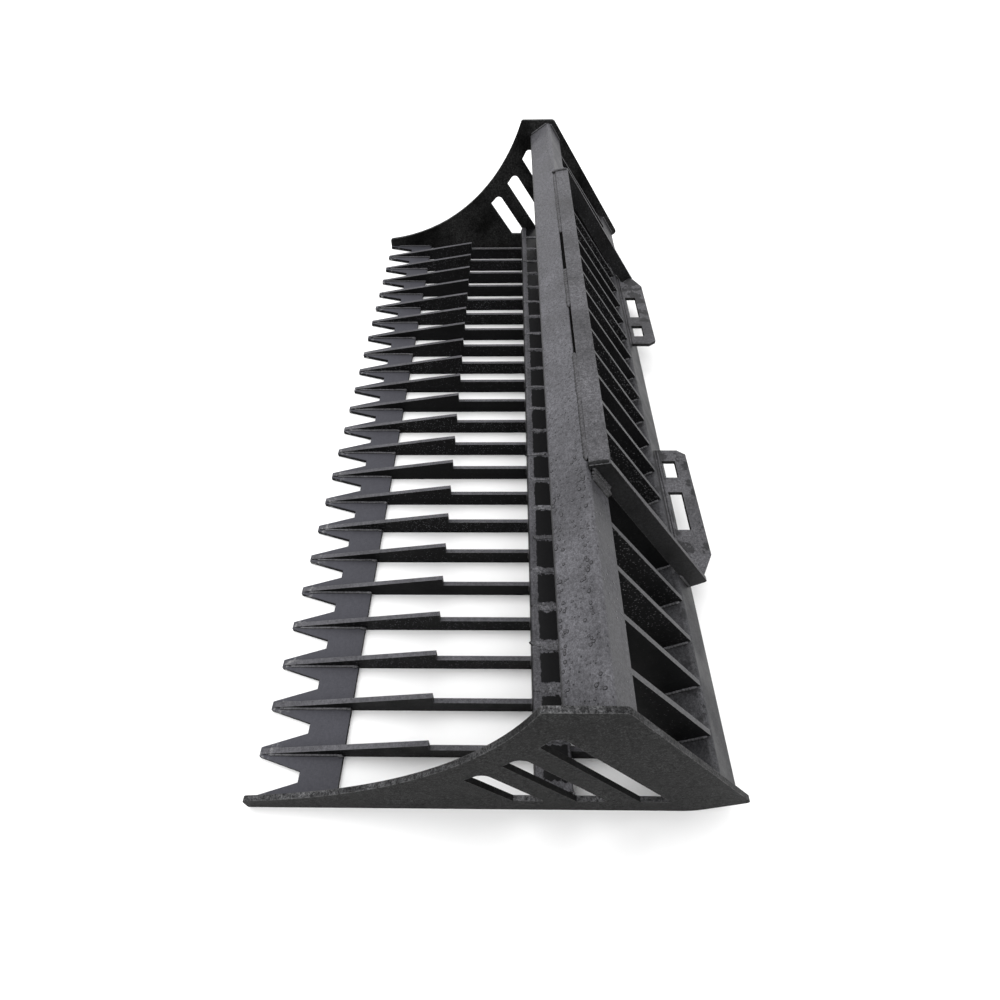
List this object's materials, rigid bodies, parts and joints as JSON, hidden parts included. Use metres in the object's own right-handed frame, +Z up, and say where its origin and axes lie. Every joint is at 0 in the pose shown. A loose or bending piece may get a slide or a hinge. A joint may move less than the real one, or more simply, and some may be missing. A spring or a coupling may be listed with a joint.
{
  "type": "skid steer bucket",
  "caption": "Skeleton bucket for a skid steer: tined floor and back between windowed side plates, toothed edge, quick-attach frame behind.",
  "frame": {"origin": "on the ground under the centre of the bounding box", "axes": "+X across the width, towards the plate named right, -Y towards the teeth, +Y towards the loader, +Z up"},
  "size_m": [1.9812, 0.874, 0.4366],
  "materials": {
    "side_paint": "satin black paint, dusty",
    "edge_paint": "satin black paint, worn at the teeth",
    "tine_paint": "satin black paint",
    "tube_paint": "satin black paint, wet and dusty",
    "attach_paint": "satin black paint"
  },
  "bodies": {
    "root": {"side_plate_left": "side_paint", "side_plate_right": "side_paint", "cutting_edge": "edge_paint", "floor_tine_01": "tine_paint", "back_tine_01": "tine_paint", "floor_tine_02": "tine_paint", "back_tine_02": "tine_paint", "floor_tine_03": "tine_paint", "back_tine_03": "tine_paint", "floor_tine_04": "tine_paint", "back_tine_04": "tine_paint", "floor_tine_05": "tine_paint", "back_tine_05": "tine_paint", "floor_tine_06": "tine_paint", "back_tine_06": "tine_paint", "floor_tine_07": "tine_paint", "back_tine_07": "tine_paint", "floor_tine_08": "tine_paint", "back_tine_08": "tine_paint", "floor_tine_09": "tine_paint", "back_tine_09": "tine_paint", "floor_tine_10": "tine_paint", "back_tine_10": "tine_paint", "floor_tine_11": "tine_paint", "back_tine_11": "tine_paint", "floor_tine_12": "tine_paint", "back_tine_12": "tine_paint", "floor_tine_13": "tine_paint", "back_tine_13": "tine_paint", "floor_tine_14": "tine_paint", "back_tine_14": "tine_paint", "floor_tine_15": "tine_paint", "back_tine_15": "tine_paint", "floor_tine_16": "tine_paint", "back_tine_16": "tine_paint", "floor_tine_17": "tine_paint", "back_tine_17": "tine_paint", "floor_tine_18": "tine_paint", "back_tine_18": "tine_paint", "floor_tine_19": "tine_paint", "back_tine_19": "tine_paint", "floor_tine_20": "tine_paint", "back_tine_20": "tine_paint", "floor_tine_21": "tine_paint", "back_tine_21": "tine_paint", "floor_tine_22": "tine_paint", "back_tine_22": "tine_paint", "top_tube": "tube_paint", "cross_tube": "tube_paint", "lower_beam": "tube_paint", "quick_attach_ear_left": "attach_paint", "quick_attach_ear_right": "attach_paint", "quick_attach_lip": "attach_paint", "latch_plate_left": "attach_paint", "latch_plate_right": "attach_paint"}
  },
  "joints": []
}
